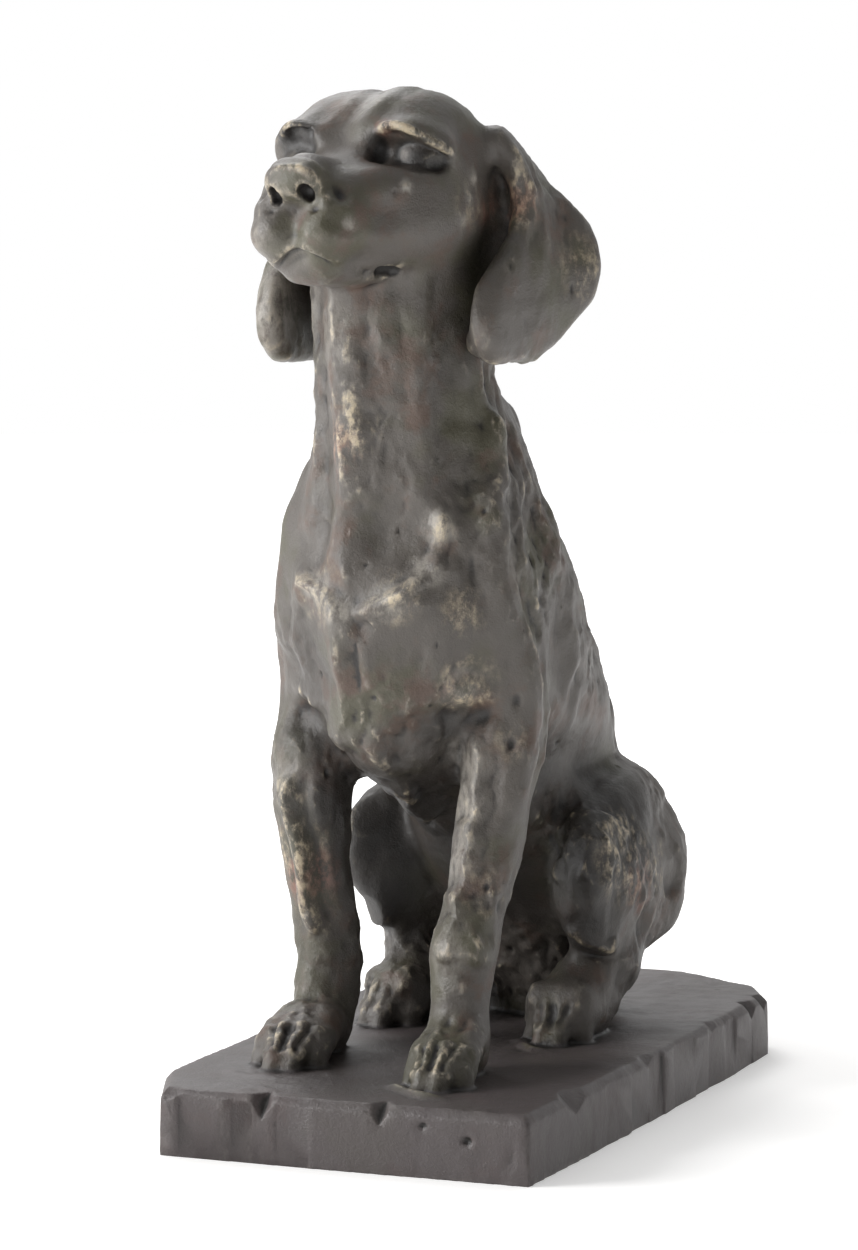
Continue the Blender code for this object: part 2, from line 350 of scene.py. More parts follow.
# %% Nostrils
for side, x, z in ((-1, -6.6, 309), (1, 6.2, 310)):
    for depth in (-2.6, -2.4, -1.6):
        dab((x, -107.5, z), (3.0, 8, 4.0), depth)
        feel()
    wing = [(x, -108, z - 2), (x + 1.6 * side, -106.6, z - 5), (x + 4.2 * side, -104, z - 6)]
    stroke(wing, 2.2, -1.1, taper=0.2, loose=0)
    feel()
stroke([(-0.4, -111, 310), (-0.8, -109, 303), (-1.2, -106, 297)], 3, -0.8, taper=0.3, loose=FACE)
feel()
print("nose cut")

# %% Lips and jaw
MOUTH = [(-15, -93, 281.5), (-12, -98.5, 283.5), (-7.5, -102, 286.4), (-1.6, -103.5, 290), (5, -104.5, 290), (10.4, -100, 286.6), (13.2, -92, 283.6)]
LIP_PIT = (17.6, -72.5, 283)
edge(MOUTH, 5.5, 1.3, UP, taper=0.2, loose=FACE)
stroke([(x, y, z - 0.4) for x, y, z in MOUTH], 2.2, -1.5, taper=0.25, loose=FACE)
stroke([(13.4, -90, 283), (15.5, -80, 282.6), (18, -71, 283.4)], 4, -0.7, taper=0.4, mirror=True)
feel()
for depth in (-2.6, -2.4, -1.6):
    stroke([(15.4, -77, 283.4), (17.6, -72, 284.2), (18.8, -66.5, 282.4)], 3.0, depth, taper=0.2, mirror=True, loose=0)
    feel()
stroke([(13, -80, 288), (19.5, -73, 288.4), (23, -65, 285)], 4, 0.9, mirror=True)
dab((-11, -101, 296), (11, 12, 12), 2.0)
dab((8, -103, 297), (8, 10, 9), 0.9)
stroke([(22, -95, 299), (16, -102, 301), (12, -104, 304)], 6, -1.2, mirror=True)
feel()

# %% Cheeks
dab((31, -60, 300), (14, 22, 16), 1.5, mirror=True)
dab((25, -86, 303), (10, 14, 9), -1.3, mirror=True)
CHEEK_NICKS = (((28.5, -78, 313), 2.6), ((20, -101, 299.6), 2.3), ((36.5, -49, 309.7), 2.8), ((36.6, -54, 301.6), 2.2), ((36.1, -43.4, 316), 2.4))
for place, size in CHEEK_NICKS:
    dab(place, (size, size * 1.6, size * 0.9), 0.7)
feel()
print("mouth cut")

# %% [markdown]
# ## Ears, neck and chest
#
# The ears are thick leather-like flaps with a rolled front rim and a long shallow dish. The neck
# is a column with two cords in front, and it dies into a Y of ridges at the breastbone. From there
# a keel runs down between the forelegs.

# %% Ears
LEFT_EAR_RIM = [(37, -32, 331), (41.5, -30, 325), (43, -28, 314), (44, -31, 301), (45, -40, 290), (45.5, -49, 280), (46, -53, 270), (45, -50, 258)]
RIGHT_EAR_RIM = [(-x, y - 3, z) for x, y, z in LEFT_EAR_RIM]
for rim in (LEFT_EAR_RIM, RIGHT_EAR_RIM):
    out = np.sign(rim[0][0])
    edge([(x + 3 * out, y + 5, z) for x, y, z in rim[:5]], 7, 1.2, (0, -1, 0), taper=0.25)
    stroke([(x - out, y + 1, z) for x, y, z in rim[3:]], 6, -0.9, taper=0.3)
stroke([(41, -14, 324), (48, -10, 308), (54, -10, 288), (52, -20, 268)], 12, -2.0, taper=0.3, mirror=True)
stroke([(38, -8, 322), (46, 0, 308), (55, 7, 290), (56, 6, 277), (51, -4, 262)], 7, 1.2, taper=0.2, mirror=True)
stroke([(40, -22, 322), (47, -20, 304), (53, -24, 284)], 6, 0.9, taper=0.3, mirror=True)
feel()

# %% Neck
TO_RIGHT, TO_LEFT, AHEAD = (-1, 0, 0), (1, 0, 0), (0, -1, 0)


def facets(path, size, facing, amount=0.75):
    """A row of knife flats along a path on the skin, all facing the same way."""
    for place in snapped(rounded(path, steps=2)):
        flatten(place - 0.06 * size * np.array(facing) / np.linalg.norm(facing), size, facing, amount)


facets([(-14, -62, 276), (-14, -62, 255), (-13, -63, 232), (-13, -64, 210)], 15, (-0.8, -0.6, 0))
facets([(13, -63, 276), (13, -63, 255), (14, -63, 232), (15, -62, 212)], 16, (0.35, -0.94, 0.05))
facets([(30, -40, 262), (32, -40, 240), (34, -42, 218)], 14, (0.85, -0.5, 0), 0.6)
feel()
stroke([(-2, -66, 283), (-2, -66, 262), (-1, -66, 240), (2, -65, 218), (6, -63, 203)], 5, 1.2, taper=0.2, loose=1.6)
stroke([(-12, -62, 276), (-14, -62, 255), (-12, -63, 232)], 6, 1.1, taper=0.3, loose=1.6)
stroke([(11, -65, 282), (12, -65, 264), (13, -64, 244)], 7, 1.4, taper=0.35, loose=1.4)
stroke([(28, -40, 262), (31, -38, 244), (33, -40, 226)], 5, 1.0, taper=0.35, mirror=True, loose=1.6)
edge([(29, -34, 258), (33, -24, 240), (37, -24, 226), (42, -32, 208)], 10, 1.2, AHEAD, taper=0.3, loose=1.2)
feel()

# %% Breastbone
dab((15, -63, 192), (15, 16, 19), -5.6)
dab((-19, -62, 192), (11, 14, 19), -4.4)
feel()
RIGHT_COLLAR = [(-34, -52, 180), (-20, -63.5, 172.5), (-10, -67, 167.4), (-3, -68, 160)]
LEFT_COLLAR = [(1, -68, 161), (5, -68, 165.5), (13.5, -65.6, 168), (21, -62.6, 172), (27, -57, 179)]
UP_THE_NECK = [(26, -57, 174), (27, -54, 188), (30, -51, 202)]
for collar, higher in ((RIGHT_COLLAR, DOWN), (LEFT_COLLAR, DOWN), (UP_THE_NECK, TO_LEFT)):
    edge(collar, 14, 1.7, higher, taper=0.25, loose=0.7)
    stroke(collar, 4.5, 2.0, taper=0.2, loose=1.2)
stroke([(-4.3, -67, 184), (-3, -68, 172), (-1, -68, 161)], 5, 1.5, taper=0.35, loose=1.5)
feel()

# %% Keel and breast
KEEL = [(-4, -67, 165), (1, -66, 151), (3, -62.5, 134), (3.4, -59, 119), (4.4, -52, 110), (3, -36, 97.5), (2.5, -20, 88)]
dab((-26, -56, 150), (20, 15, 24), 2.2)
dab((34, -50, 160), (16, 15, 18), 1.8)
feel()
facets([(-17, -62, 156), (-18, -60, 142), (-17, -58, 128)], 19, (-0.62, -0.78, 0), 0.8)
facets([(18, -62, 152), (19, -60, 138)], 17, (0.42, -0.9, -0.1), 0.7)
facets([(16, -54, 120), (15, -50, 112)], 13, (0.5, -0.75, -0.4), 0.7)
feel()
stroke(KEEL, 5, 2.0, taper=0.15, loose=1.2)
stroke([(-44, -36, 122), (-36, -40, 121), (-24, -48, 122), (-12, -56, 124)], 9, -1.8, taper=0.25, loose=1.2)
stroke([(-44, -38, 132), (-34, -45, 131), (-22, -52, 132)], 8, 1.5, taper=0.25, loose=1.2)
feel()

# %% Shoulder and upper arm
ARM = [(33, -20, 240), (38, -21, 226), (44, -33, 204), (47, -38, 182), (50, -34, 165), (52, -25, 148), (52.5, -23, 122), (50.6, -26.5, 101), (48, -30, 81)]
edge(ARM, 14, 2.6, AHEAD, taper=0.12, loose=0.8)
stroke(ARM[3:8], 5, 1.0, taper=0.2, loose=1.5)
edge([(-x, y, z) for x, y, z in ARM[3:]], 12, 1.6, AHEAD, taper=0.2, loose=1.6)
stroke([(29, -46, 131), (35, -44, 136), (41, -38, 139)], 7, 2.2, taper=0.3, mirror=True, loose=1.4)
dab((33, -47, 138), (8, 8, 6), 1.3)
stroke([(24, -48, 147), (31, -47, 151), (38, -43, 150), (44, -37, 144)], 6, 2.0, taper=0.3, mirror=True, loose=1.4)
edge([(23, -47, 125), (30, -43, 128), (38, -38, 131), (44, -35, 135)], 9, 0.8, UP, taper=0.3, mirror=True, loose=1.0)
feel()
print("chest modelled")

# %% [markdown]
# ## Legs and paws
#
# A hound's forearm is a bone with cords over it: a sharp front edge, a knobbed wrist, and tendons
# that run to each toe. The toes come from the solid, and here the splits between them are cut
# again by the same fan that set them, so they line up.

# %% Forelegs
LEFT_SHIN = [(32, -38.5, 123), (31.3, -39, 110), (31.2, -41, 96), (30, -43.5, 82), (30.4, -46.8, 71), (29.5, -50.6, 59), (29, -55.6, 49)]
RIGHT_SHIN = [(-40, -45.6, 104), (-39.8, -45.6, 91), (-36, -43.6, 74), (-34.7, -40, 56), (-32, -37.6, 42)]
edge([(x + 7, y, z) for x, y, z in LEFT_SHIN], 8, 0.7, TO_RIGHT, taper=0.15, loose=0.6)
stroke([(x + 3.5, y - 0.5, z) for x, y, z in LEFT_SHIN], 4.5, 1.0, taper=0.15, loose=0.8)
edge([(x + 3.5, y + 0.5, z) for x, y, z in RIGHT_SHIN], 8, 2.0, TO_RIGHT, taper=0.15, loose=1.0)
stroke(RIGHT_SHIN, 4.5, 1.6, taper=0.15, loose=1.0)
stroke([(43, -42, 118), (41, -45, 96), (41, -46, 78), (40, -49, 62)], 5, 1.2, taper=0.3, loose=1.6)
stroke([(44, -40, 70), (42, -47, 58), (38, -55, 47)], 4, 0.9, taper=0.3, loose=1.2)
for x, y, z in snapped([(x, y - 3, z) for x, y, z in LEFT_SHIN[1:]]):
    flatten((x, y + 0.5, z), 10, (-0.62, -0.78, 0), 0.85)
for bone, height in (((28, -57, 45), 2.6), ((42, -52, 45), 2.2), ((35, -60, 46), 1.4)):
    dab(snapped([bone])[0], (8, 8, 8.5), height)
feel()
stroke([(27, -55, 42), (30, -60, 42), (36, -61, 43), (42, -58, 43), (46, -52, 42)], 4, 1.2, loose=FACE)
stroke([(27, -55, 36), (31, -61, 36), (36, -62, 36), (42, -59, 36), (46, -52, 36)], 4, -0.9, loose=FACE)
dab((-31, -37, 36), (7, 7, 8), 1.4)
dab((-35.5, -40, 51), (2.2, 4, 3.2), -1.8)
for place in ((43, -46, 67), (44, -46, 60), (47, -36, 116), (48.5, -34, 132)):
    dab(place, (2.6, 3.2, 4.2), -0.9)
feel()

# %% Paws
LEFT_PAW = ((35, -50), (43, -90), 6.2, 13)
RIGHT_PAW = ((-32, -38), (-22, -82), 7.2, 12)
LEFT_HIND = ((35, 30), (38, 8), 6.6, 15)
RIGHT_HIND = ((-35, 30), (-38, 8), 6.6, 15)


def toe_line(paw, across, start, end):
    """Places over a paw, from start to end as shares of its length, at a toe's place across."""
    heel, tip, spread, height = paw
    heel, tip = Vector((*heel, 0)), Vector((*tip, 0))
    ahead = (tip - heel).normalized()
    aside = Vector((ahead.y, -ahead.x, 0))
    line = []
    for share in np.linspace(start, end, 5):
        fan = 0.7 + 0.3 * share
        top = height * (1 - 0.75 * share) + 6.5
        place = heel.lerp(tip, share) + aside * across * spread * fan
        line.append((place.x, place.y, top if share < 0.9 else top * 0.6))
    return line


for paw, depth in ((LEFT_PAW, 1), (RIGHT_PAW, 1), (LEFT_HIND, 0.45), (RIGHT_HIND, 0.45)):
    for across in (-1.5, -0.5, 0.5, 1.5):
        knuckle, toe = snapped(toe_line(paw, across, 0.62, 0.9)[::4])
        dab(knuckle, (3.6, 4.4, 3.6), 1.3 * depth)
        dab(toe, (3.2, 3.6, 3.2), 0.9 * depth)
    feel()
    for across in (-1, 0, 1):
        stroke(snapped(toe_line(paw, across, 0.55, 1.0)), 2.4, -1.9 * depth, taper=0.3, loose=FACE)
    for across in (-1.3, -0.3, 0.5, 1.4):
        stroke(snapped(toe_line(paw, across, 0.05, 0.6)), 3.2, 0.8 * depth, taper=0.4, loose=1.2)
feel()
stroke([(31.8, -60, 37), (33.6, -64, 27), (35.4, -68, 18)], 3.2, 1.5)
stroke([(40.3, -58, 36), (41.4, -61, 27), (42, -65, 18)], 3.2, 1.4)
stroke([(36, -60.5, 35), (37, -63, 26), (38.4, -66, 17)], 2.6, -1.4)
feel()
print("paws cut")

# %% Haunches and hind feet
edge([(36, 26, 40), (41.5, 28, 37), (46, 34, 34), (52, 44, 33)], 7, 2.2, UP, taper=0.2, mirror=True, loose=1.2)
stroke([(34, 34, 94), (38, 50, 101), (37, 66, 99), (34, 84, 92)], 9, -2.0, taper=0.25, mirror=True, loose=1.4)
stroke([(48, 84, 78), (53, 92, 60), (50, 90, 42), (44, 84, 28)], 9, 1.5, taper=0.25, mirror=True, loose=1.4)
stroke([(36, 100, 70), (40, 104, 50), (34, 104, 30)], 9, -1.8, taper=0.3, mirror=True)
stroke([(50, 22, 74), (54, 30, 58), (54, 44, 46)], 9, -1.4, taper=0.3, mirror=True, loose=1.4)
dab((-44, 32, 82), (18, 26, 20), 6.5, push=UP)
dab((-48, 20, 66), (14, 16, 26), 3.2, push=(-0.8, -0.5, 0))
dab((52, 58, 68), (20, 26, 22), 1.4, mirror=True)
dab((50, 26, 58), (10, 12, 18), 1.0, mirror=True)
feel()

# %% Back and flanks
for shift in (0, 1, 2, 3):
    low = 96 - 12 * shift
    rib = [(46, 16 + 9 * shift, low + 58), (48, 10 + 9 * shift, low + 44), (45, 10 + 10 * shift, low + 26)]
    stroke(rib, 8, -1.2, taper=0.35, mirror=True, loose=1.4)
stroke([(6, 24, 214), (4, 44, 192), (4, 66, 165), (3, 88, 136), (2, 104, 108)], 9, 1.3, taper=0.2, loose=1.4)
stroke([(18, 22, 206), (20, 44, 180), (22, 64, 152)], 11, -1.5, taper=0.3, mirror=True, loose=1.4)
feel()
print("body modelled")

# %% [markdown]
# ## Marks of the tool
#
# Under the patina the surface is never even. The thumb left soft lumps, the rasp left short flats
# along each form, and the mould left pits. The lumps are noise, in three real sizes. The pits are
# dabs on chosen places, and more of them strewn by a seeded draw over the back and shoulders.

# %% Lumps, tool flats and crust
LUMP_SIZES = ((30, 1.8), (13, 1.0))
CRUMB_SIZES = ((5.5, 0.9), (2.8, 0.5))
CRUST_SIZE, CRUST_DEPTH = 9, 0.8
FLAT_SIZE, FLAT_DEPTH = 6.5, 0.3
CRUSTY_PATCH = 42
UPRIGHT = 0.6


def roughness(places, calm):
    """Height of the worked surface at each place, in millimetres; lumps are lower where it is calm."""
    heights = np.empty(len(places))
    for i, place in enumerate(places):
        spot = Vector(place)
        drawn = Vector((spot.x, spot.y, spot.z * UPRIGHT))
        lump = sum(depth * noise.noise(drawn / size) for size, depth in LUMP_SIZES)
        crumb = sum(depth * noise.noise(drawn / size) for size, depth in CRUMB_SIZES)
        flat = noise.voronoi(drawn / FLAT_SIZE)[0][0]
        crust = noise.ridged_multi_fractal(drawn / CRUST_SIZE, 0.9, 2.2, 4, 1.0, 2.0)
        crusty = min(max(0.65 + 1.3 * noise.noise(spot / CRUSTY_PATCH), 0.25), 1.1)
        fine_work = crumb + FLAT_DEPTH * (0.45 - flat) + CRUST_DEPTH * (min(crust, 2.6) - 1.3)
        heights[i] = lump * calm[i] + crusty * fine_work
    return heights


face = np.clip((points[:, 2] - 276) / 12, 0, 1) * np.clip((-36 - points[:, 1]) / 10, 0, 1)
head = np.clip((points[:, 2] - 250) / 20, 0, 1)
freedom = np.clip(points[:, 2] / 6, 0.3, 1) * (1 - 0.7 * face) * (1 - 0.35 * head)
front = np.clip((-16 - points[:, 1]) / 20, 0, 1)
raised = roughness(points, 1 - 0.65 * front) * (1 - 0.25 * front)
points += (raised * freedom)[:, None] * normals
feel()
print("worked surface, mm:", np.percentile(raised, [2, 50, 98]).round(2))

# %% Knife flats
KNIFE_FLATS, KNIFE_SIZES = 420, (5, 12)
CALM_FRONT = -32
hand = np.random.default_rng(21)
for _ in range(KNIFE_FLATS):
    spot = hand.integers(len(points))
    size = hand.uniform(*KNIFE_SIZES)
    if 26 < points[spot, 2] < 262 and points[spot, 1] > CALM_FRONT:
        flatten(points[spot] - 0.03 * size * normals[spot], size, normals[spot], hand.uniform(0.4, 0.9))
feel()
print("knife flats:", KNIFE_FLATS)

# %% Pits
PITS = ((36, -20, 229), (44, -30, 204), (46, -18, 181), (45, 21, 135), (-8, -66, 226), (14, -69, 174))
STREWN_PITS = 90
draw = np.random.default_rng(9)
for place in PITS:
    dab(place, (2.4, 2.6, 4.5), -1.7)
for _ in range(STREWN_PITS):
    middle = points[draw.integers(len(points))]
    size = draw.uniform(0.9, 2.0)
    if middle[2] > 60:
        dab(middle, (size, size, size * draw.uniform(1, 2.4)), -draw.uniform(0.4, 1.0))
feel()
print("pits:", len(PITS), "placed,", STREWN_PITS, "drawn")

# %% [markdown]
# ## The slab
#
# The slab looks like split stone: a wavy top edge with bites out of it, upright facets down the
# long side, and low lips where clay was pushed up round the paws. All of it only takes clay away
# from the block or raises the top a little, so the outline of the solid stays the outer limit.

# %% Into the slab's millimetres
FRONT, LEFT_SIDE, TOP = -149, 78, 24
turn, shift = np.array(to_world)[:3, :3] / MM, np.array(to_world)[:3, 3] / MM
block = points @ turn.T + shift
in_slab = block[:, 2] < TOP + 0.6
split = np.random.default_rng(4)

# %% Split faces
SPLIT_WIDTHS, SPLIT_DEPTHS, LEAN = (7, 24), (0.1, 2.0), (-0.6, 1.3)


def split_face(axis, out, reach, length, deepest):
    """Shave one upright face of the block back to flat chips, each with its own slant and lean."""
    start = -length
    while start < length:
        end = start + split.uniform(*SPLIT_WIDTHS)
        near, far = split.uniform(*SPLIT_DEPTHS, 2) * deepest
        along = (block[:, 1 - axis] - start) / (end - start)
        limit = reach - near - (far - near) * along - split.uniform(*LEAN) * deepest * block[:, 2] / TOP
        over = out * block[:, axis] - limit
        hit = in_slab & (along >= 0) & (along < 1) & (over > 0)
        block[hit, axis] -= out * over[hit]
        start = end


split_face(0, 1, LEFT_SIDE, 150, 1.0)
split_face(1, -1, -FRONT, 78, 0.6)
split_face(0, -1, LEFT_SIDE, 150, 0.7)
split_face(1, 1, -FRONT, 78, 0.7)
print("faces split, points in the slab:", int(in_slab.sum()))

# %% Chipped top edges
FRONT_CHIPS = ((-24, 9.5, 6.5), (20, 9, 6.5), (27, 4, 5), (-60, 4.5, 13), (-74, 6, 7), (48, 2.6, 10), (68, 3.2, 8), (2, 2.0, 9))
LEFT_CHIPS = ((-104, 8.5, 20), (-62, 2.5, 12), (-31, 4.5, 15), (8, 2.2, 10), (41, 3.6, 13), (88, 6.5, 8), (104, 6, 9), (128, 3, 8))
PLAIN_CHIPS = ((-90, 4, 14), (-20, 5, 11), (36, 3, 15), (84, 4.5, 10))


def chip_edge(axis, out, reach, chips):
    """Cut the top edge along one face: a wavy chamfer, and a V for each (place, depth, half width)."""
    along = block[:, 1 - axis]
    depth = np.array([0.9 + 2.2 * noise.noise(Vector((place / 9, axis * 7, out * 3))) for place in along])
    for place, deep, wide in chips:
        depth = np.maximum(depth, deep * (1 - np.abs(along - place) / wide))
    inward = reach - out * block[:, axis]
    short = depth - inward - (TOP - block[:, 2])
    hit = in_slab & (short > 0)
    block[hit, axis] -= out * short[hit] / 2
    block[hit, 2] -= short[hit] / 2


chip_edge(1, -1, -FRONT, FRONT_CHIPS)
chip_edge(0, 1, LEFT_SIDE - 1, LEFT_CHIPS)
chip_edge(0, -1, LEFT_SIDE - 1, PLAIN_CHIPS)
chip_edge(1, 1, -FRONT, PLAIN_CHIPS[1:3])
points[in_slab] = (block[in_slab] - shift) @ np.linalg.inv(turn).T
feel()
print("edges chipped:", len(FRONT_CHIPS) + len(LEFT_CHIPS), "on the seen sides")

# %% Pits in the front, lips round the paws
dab(on_slab(52, FRONT + 1, 14), (2.8, 5, 2.4), -2.2)
dab(on_slab(36, FRONT + 1, 18), (2.4, 5, 1.8), -1.5)
stroke([on_slab(67, FRONT, 22), on_slab(69, FRONT, 13), on_slab(68, FRONT, 3)], 3, -1.3)
stroke([on_slab(8, -112, TOP), on_slab(17, -121, TOP), on_slab(30, -131, TOP), on_slab(42, -130, TOP)], 4, 1.6)
stroke([on_slab(18, -14, TOP), on_slab(23, -22, TOP), on_slab(33, -34, TOP), on_slab(46, -32, TOP)], 4, 1.5)
stroke([on_slab(-55, -108, TOP), on_slab(-44, -118, TOP), on_slab(-28, -116, TOP)], 4, 1.1)
feel()
print("slab hewn")

# %% [markdown]
# ## Wear, painted shade and painted highlights
#
# The patina was rubbed with a cloth: it stays dark in the hollows and goes thin on the ridges. How
# far the clay stands out from a smoothed copy of itself says which is which. That number is kept on
# the mesh as an attribute, with listed rubs beside it, and the material reads both.
# Not all the colour here is wear. The broad part of the hollow mask also lays painted shade over wide concave places,
# and of the listed patches the dark ones are painted shade and the light grey ones painted highlights and glints.

# %% Height over a smoothed copy
edges = np.empty(len(hound.data.edges) * 2, np.int64)
hound.data.edges.foreach_get("vertices", edges)
one, other = edges.reshape(-1, 2).T
count = np.bincount(one, minlength=len(points)) + np.bincount(other, minlength=len(points))


def averaged(values, rounds):
    """Each point's values spread over its neighbours, that many times."""
    values = values.copy()
    for _ in range(rounds):
        for axis in range(values.shape[1]):
            column = values[:, axis]
            total = np.bincount(one, column[other], len(column)) + np.bincount(other, column[one], len(column))
            values[:, axis] = 0.5 * column + 0.5 * total / count
    return values


def standing_out(rounds):
    """How far each point stands out from the clay averaged over that many rounds, in millimetres."""
    return ((points - averaged(points, rounds)) * normals).sum(axis=1)


fine, broad = standing_out(6), standing_out(60)
print("stands out, fine and broad:", np.percentile(fine, [2, 50, 98]).round(3), np.percentile(broad, [2, 50, 98]).round(2))

# %% Listed rubs, painted highlights and painted shade
GOLD_RUBS = [
    ((18, -72, 334), 4, 0.8), ((25, -71, 333), 4, 1.0), ((31, -68, 330.5), 4, 1.0), ((-22, -69, 336), 5, 0.6),
    ((-5, -109, 319), 2.8, 0.6), ((4, -109, 319), 3.2, 0.8), ((11.5, -105, 312), 4, 0.7), ((36, -48, 306), 11, 0.6),
    ((-3, -66, 228), 14, 0.9), ((-16, -64, 170), 14, 1.2), ((15, -65, 169), 12, 1.0), ((28, -54, 190), 8, 0.7),
    ((36, -50, 165), 10, 1.0), ((34, -44, 138), 13, 1.6), ((-39, -42, 74), 15, 1.3), ((-40, -43, 94), 9, 1.1),
    ((-33, -39, 50), 11, 0.9), ((54, 40, 68), 20, 1.6), ((53, 66, 62), 14, 1.0), ((58, -2, 285), 14, 1.0),
    ((45, -29, 308), 12, 0.8), ((43, -46, 64), 10, 0.9), ((47, -36, 117), 8, 0.5),
    ((31, -42, 92), 9, 0.5), ((40, -84, 12), 10, 0.5), ((-24, -76, 12), 10, 0.6), ((40, 14, 16), 10, 0.4),
]
RED_RUBS = [
    ((16, -72, 334), 5, 0.8), ((43, -29, 306), 12, 1.0), ((-6, -65, 222), 11, 0.9), ((54, 50, 56), 14, 0.7),
    ((-35, -40, 64), 14, 0.9), ((32, -46, 136), 8, 0.5),
]
# Painted highlights, with some scuffs: the far ear's lit face, glints on both eyes, the lit facets of both forelegs, a
# wrist and an elbow, the neck, shoulder, forehead, muzzle, chin and chest lines, and nicks on the cheeks.
HIGHLIGHTS_AND_SCUFFS = [
    ((-41, -55, 272), 24, 1.0), ((-10, -66, 262), 16, 0.5), ((-42, -46, 100), 14, 0.5), ((30, -43, 96), 12, 1.0),
    ((30, -46, 76), 12, 0.9), ((31, -41, 110), 11, 0.9), ((50, -34, 176), 12, 0.4), ((-14, -103, 294), 11, 0.4), ((0, -60, 345), 12, 0.4),
    ((21.5, -68, 324), 2.2, 1.0), ((-24, -68, 325), 2.2, 1.0), ((0, -106, 288), 8, 0.4), ((28, -46, 84), 12, 0.6),
    ((28.5, -78, 313), 3.4, 1.0), ((20, -101, 299.6), 3.4, 1.0), ((36.5, -49, 309.7), 3.6, 1.0),
    ((36.6, -54, 301.6), 3.4, 1.0), ((36.1, -43.4, 316), 3.4, 1.0), ((-18, -64, 172), 9, 1.0),
    ((-5, -68, 164), 7, 1.0), ((13, -66, 168), 9, 1.0), ((25, -58, 178), 8, 1.0), ((28, -54, 194), 8, 1.0), ((34, -59, 44), 10, 0.7), ((32, -46, 137), 9, 0.8),
]
# Painted shade: dark patches in the eye sockets, nostrils and lip pit, under the belly, between and behind the legs, on
# the haunches, under the arms, on the chest's side and a shoulder, between the ears and the neck, and on the slab in
# front of the paws.
PAINTED_SHADES = [
    ((15, -72, 327), 8, 1.0), ((27, -67, 323), 9, 1.0), ((34, -63, 322), 7, 0.9), ((-18, -68, 329), 9, 1.0),
    ((-25, -67, 329), 9, 1.0), ((18, -72, 283), 6, 1.0), ((-6.6, -108, 309), 5, 1.0), ((6.2, -108, 310), 5, 1.0),
    ((0, -30, 84), 46, 0.9), ((0, 10, 60), 52, 0.9), ((44, 14, 92), 30, 0.9), ((52, 44, 80), 40, 1.0),
    ((-44, 24, 72), 36, 1.0), ((-40, 18, 46), 28, 1.0), ((47, 18, 66), 28, 1.0), ((46, 24, 42), 24, 0.9), ((-26, -54, 142), 24, 0.4), ((-32, -44, 118), 15, 0.7),
    ((24, -44, 120), 13, 0.7), ((-24, -34, 92), 26, 0.8), ((36, -36, 290), 16, 0.6), ((24, -40, 258), 18, 0.4),
    ((-30, -50, 266), 18, 0.7), ((56, -20, 200), 18, 0.3), ((44, 60, 24), 26, 0.5), ((10, -80, 0), 34, 0.4),
]


def painted_amount(painted_patches):
    """How strongly each point is marked, 0 to 1, from (place, radius, strength); used alike for ochre and red wear,
    painted highlights and painted shade.
    """
    amount = np.zeros(len(points))
    for place, radius, strength in painted_patches:
        reach = ((points - place) ** 2).sum(axis=1) / radius ** 2
        amount = np.maximum(amount, strength * np.clip(1 - reach, 0, 1))
    return amount


def keep(name, values):
    """Store one number for each point on the mesh."""
    layer = hound.data.attributes.new(name, "FLOAT", "POINT")
    layer.data.foreach_set("value", np.clip(values, 0, 1).astype(np.float32))


keep("worn", 0.5 + 1.1 * fine + 0.10 * broad)
# Dark patina in the fine hollows; the broad term also lays painted shade over wide concave places such as the belly.
keep("hollow", 0.12 - 1.6 * fine - 0.16 * broad)
keep("low_down", np.where(points[:, 2] < 1.2, 0.8, 0))
# Ochre and red wear, painted highlights and painted shade, each kept as an attribute.
for name, painted_patches in (("gold_rub", GOLD_RUBS), ("red_rub", RED_RUBS), ("highlight_and_scuff", HIGHLIGHTS_AND_SCUFFS), ("painted_shade", PAINTED_SHADES)):
    keep(name, painted_amount(painted_patches))
    print(name, "in", len(painted_patches), "places")

# %% [markdown]
# ## Back from clay to a light mesh
#
# The clay has far more points than the casting needs: a flat slab face takes as many as an eyelid.
# Decimate removes the ones that change the shape least and keeps the attributes. Before that, the
# underside is laid flat again and everything is held inside the solid's own box.

# %% Light mesh
TRIANGLES = 190000

flat = points[:, 2] < -SLAB_HEIGHT + 0.6
points[flat, 2] = -SLAB_HEIGHT
hound.data.vertices.foreach_set("co", points.ravel())
hound.data.transform(to_world)
low, high = (np.array(corner) for corner in cad_box)
places = np.clip(read(hound.data.vertices, "co"), low, high)
hound.data.vertices.foreach_set("co", places.ravel())
hound.data.update()
hound.vertex_groups.clear()
hound.data.calc_loop_triangles()
worked(hound, "DECIMATE", ratio=TRIANGLES / len(hound.data.loop_triangles), use_collapse_triangulate=True)
hound.data.shade_smooth()
print("light mesh:", len(hound.data.polygons), "triangles")

# %% [markdown]
# ## Patinated resin
#
# The stuff is polyester resin filled with stone powder and a little bronze powder, cast and then
# painted. To the eye it is a dark warm grey with a satin skin. In the hollows lie olive and black
# washes; on the ridges the ochre of the bronze powder comes through in specks, here and there
# with a red undercoat. Over this, black is laid as painted shade in the sockets, nostrils and
# lip pits, under the body and between the legs, and light grey as painted highlights and glints.
# The skin has a fine sandy grain from the mould.

# %% Colours and nodes


def linear(colour):
    """An sRGB hex colour as linear values with alpha."""
    parts = [int(colour[i:i + 2], 16) / 255 for i in (0, 2, 4)]
    return [c / 12.92 if c <= 0.04045 else ((c + 0.055) / 1.055) ** 2.4 for c in parts] + [1]


def per(size):
    """A texture scale for features of that size in millimetres."""
    return 1 / (size * MM)


